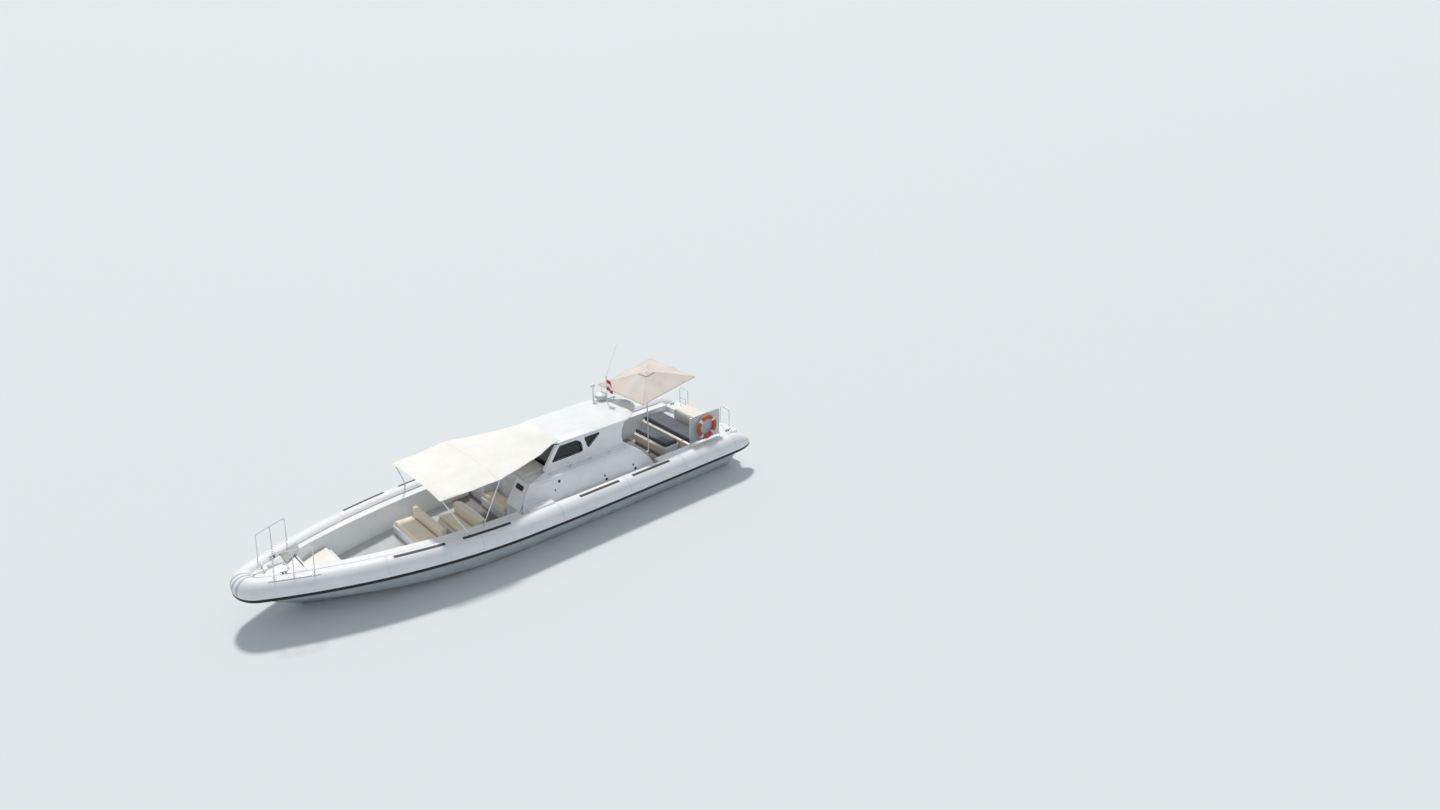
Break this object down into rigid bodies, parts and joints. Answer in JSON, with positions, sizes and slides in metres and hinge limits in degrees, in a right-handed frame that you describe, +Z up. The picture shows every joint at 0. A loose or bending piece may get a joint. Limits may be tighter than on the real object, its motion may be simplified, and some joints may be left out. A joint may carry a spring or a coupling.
{
  "type": "rigid inflatable boat",
  "caption": "Large rigid inflatable boat with a wheelhouse, fore cockpit under an awning, aft cockpit with a parasol, and stern drives that steer and tilt.",
  "frame": {"origin": "on the centreline at the waterline, amidships, where the afloat hull meets the water plane", "axes": "+X to the bow, +Y to port, +Z up"},
  "size_m": [14.5277, 4.1646, 4.8607],
  "materials": {
    "gelcoat": "moulded white gelcoat, glossy",
    "hull_paint": "light grey-white gelcoat, satin",
    "collar": "coated tube fabric, satin off-white",
    "black_rubber": "matt black rubbing strake",
    "nonskid": "grey non-slip deck covering",
    "steel": "polished stainless tube",
    "cream": "cream upholstery vinyl",
    "white_vinyl": "off-white upholstery vinyl",
    "slate": "dark slate upholstery vinyl",
    "canvas": "white woven canvas",
    "parasol_cloth": "sand-coloured woven cloth",
    "smoked": "dark smoked glazing",
    "dark": "dark textured moulding",
    "orange": "orange foam ring with white bands",
    "flag": "printed flag cloth",
    "drive_paint": "grey enamel",
    "bronze": "cast propeller bronze",
    "engine_paint": "grey engine enamel"
  },
  "bodies": {
    "boat": {"aft_bench": "gelcoat", "aft_bench_cushion": "slate", "aft_cockpit_moulding": "gelcoat", "antenna_mast": "gelcoat", "awning": "canvas", "bow_pad": "white_vinyl", "cabin_side_port": "gelcoat", "cabin_side_starboard": "gelcoat", "deck_sole": "nonskid", "engine_port": "engine_paint", "engine_starboard": "engine_paint", "ensign": "flag", "fore_awning_bow": "steel", "fore_cockpit_moulding": "gelcoat", "fore_seat_base": "gelcoat", "fore_seat_cushion": "cream", "foredeck": "gelcoat", "handrail_port": "steel", "handrail_starboard": "steel", "helm_bulkhead": "gelcoat", "helm_console": "dark", "helm_seat": "cream", "hull": "hull_paint", "inflatable_collar": "collar", "lifebuoy": "orange", "mid_awning_bow": "steel", "mid_seat_base": "gelcoat", "mid_seat_cushion": "cream", "parasol_canopy": "parasol_cloth", "parasol_pole": "steel", "pulpit_port": "steel", "pulpit_starboard": "steel", "quarter_screen": "steel", "radar_dome": "gelcoat", "rub_strake": "black_rubber", "side_glazing_port": "smoked", "side_glazing_starboard": "smoked", "stern_hoop_port": "steel", "stern_hoop_starboard": "steel", "swim_platform": "nonskid", "trunk_moulding": "gelcoat", "trunk_pad": "cream", "trunk_rail": "steel", "trunk_seat_cushion": "cream", "wheelhouse_roof": "gelcoat", "windscreen": "smoked"},
    "anchor_locker_lid": {"anchor_locker_lid": "gelcoat"},
    "cabin_door": {"cabin_door": "gelcoat"},
    "steering_wheel": {"steering_wheel": "dark"},
    "engine_hatch": {"engine_hatch": "gelcoat", "sunpad": "slate", "stern_pad": "white_vinyl"},
    "boarding_ladder": {"boarding_ladder": "steel"},
    "vhf_antenna": {"vhf_antenna": "gelcoat"},
    "drive_gimbal_port": {"drive_gimbal_port": "drive_paint"},
    "drive_leg_port": {"drive_leg_port": "drive_paint"},
    "propeller_port": {"propeller_port": "bronze"},
    "drive_gimbal_starboard": {"drive_gimbal_starboard": "drive_paint"},
    "drive_leg_starboard": {"drive_leg_starboard": "drive_paint"},
    "propeller_starboard": {"propeller_starboard": "bronze"}
  },
  "joints": [
    {"name": "locker_lid_hinge", "type": "hinge", "parent": "boat", "child": "anchor_locker_lid", "pos_m": [5.96, 0, 1.1334], "axis": [0, -1, 0], "range_deg": [0, 85]},
    {"name": "cabin_door_hinge", "type": "hinge", "parent": "boat", "child": "cabin_door", "pos_m": [-1.032, 0.677, 0.99], "axis": [0, 0, -1], "range_deg": [0, 100]},
    {"name": "steering_wheel_turn", "type": "hinge", "parent": "boat", "child": "steering_wheel", "pos_m": [-1.37631, -0.44, 1.37814], "axis": [-0.8756, 0, 0.4831], "range_deg": [-450, 450]},
    {"name": "engine_hatch_hinge", "type": "hinge", "parent": "boat", "child": "engine_hatch", "pos_m": [-6.475, 0, 0.8103], "axis": [0, -1, 0], "range_deg": [0, 55]},
    {"name": "boarding_ladder_hinge", "type": "hinge", "parent": "boat", "child": "boarding_ladder", "pos_m": [-7.17, -1.25, 0.54], "axis": [0, -1, 0], "range_deg": [0, 175]},
    {"name": "vhf_antenna_fold", "type": "hinge", "parent": "boat", "child": "vhf_antenna", "pos_m": [-3.52, -0.33, 3.178], "axis": [0, 1, 0], "range_deg": [0, 90]},
    {"name": "drive_steer_port", "type": "hinge", "parent": "boat", "child": "drive_gimbal_port", "pos_m": [-6.73, 0.48, 0.03], "axis": [0, 0, 1], "range_deg": [-25, 25]},
    {"name": "drive_tilt_port", "type": "hinge", "parent": "drive_gimbal_port", "child": "drive_leg_port", "pos_m": [-6.89, 0.48, 0.05], "axis": [0, 1, 0], "range_deg": [0, 50]},
    {"name": "propeller_spin_port", "type": "hinge", "parent": "drive_leg_port", "child": "propeller_port", "pos_m": [-7.255, 0.48, -0.62], "axis": [1, 0, 0], "continuous": true},
    {"name": "drive_steer_starboard", "type": "hinge", "parent": "boat", "child": "drive_gimbal_starboard", "pos_m": [-6.73, -0.48, 0.03], "axis": [0, 0, 1], "range_deg": [-25, 25]},
    {"name": "drive_tilt_starboard", "type": "hinge", "parent": "drive_gimbal_starboard", "child": "drive_leg_starboard", "pos_m": [-6.89, -0.48, 0.05], "axis": [0, 1, 0], "range_deg": [0, 50]},
    {"name": "propeller_spin_starboard", "type": "hinge", "parent": "drive_leg_starboard", "child": "propeller_starboard", "pos_m": [-7.255, -0.48, -0.62], "axis": [1, 0, 0], "continuous": true}
  ],
  "couplings": [
    {"joint": "drive_steer_starboard", "follows": "drive_steer_port", "ratio": 1},
    {"joint": "steering_wheel_turn", "follows": "drive_steer_port", "ratio": -18}
  ]
}
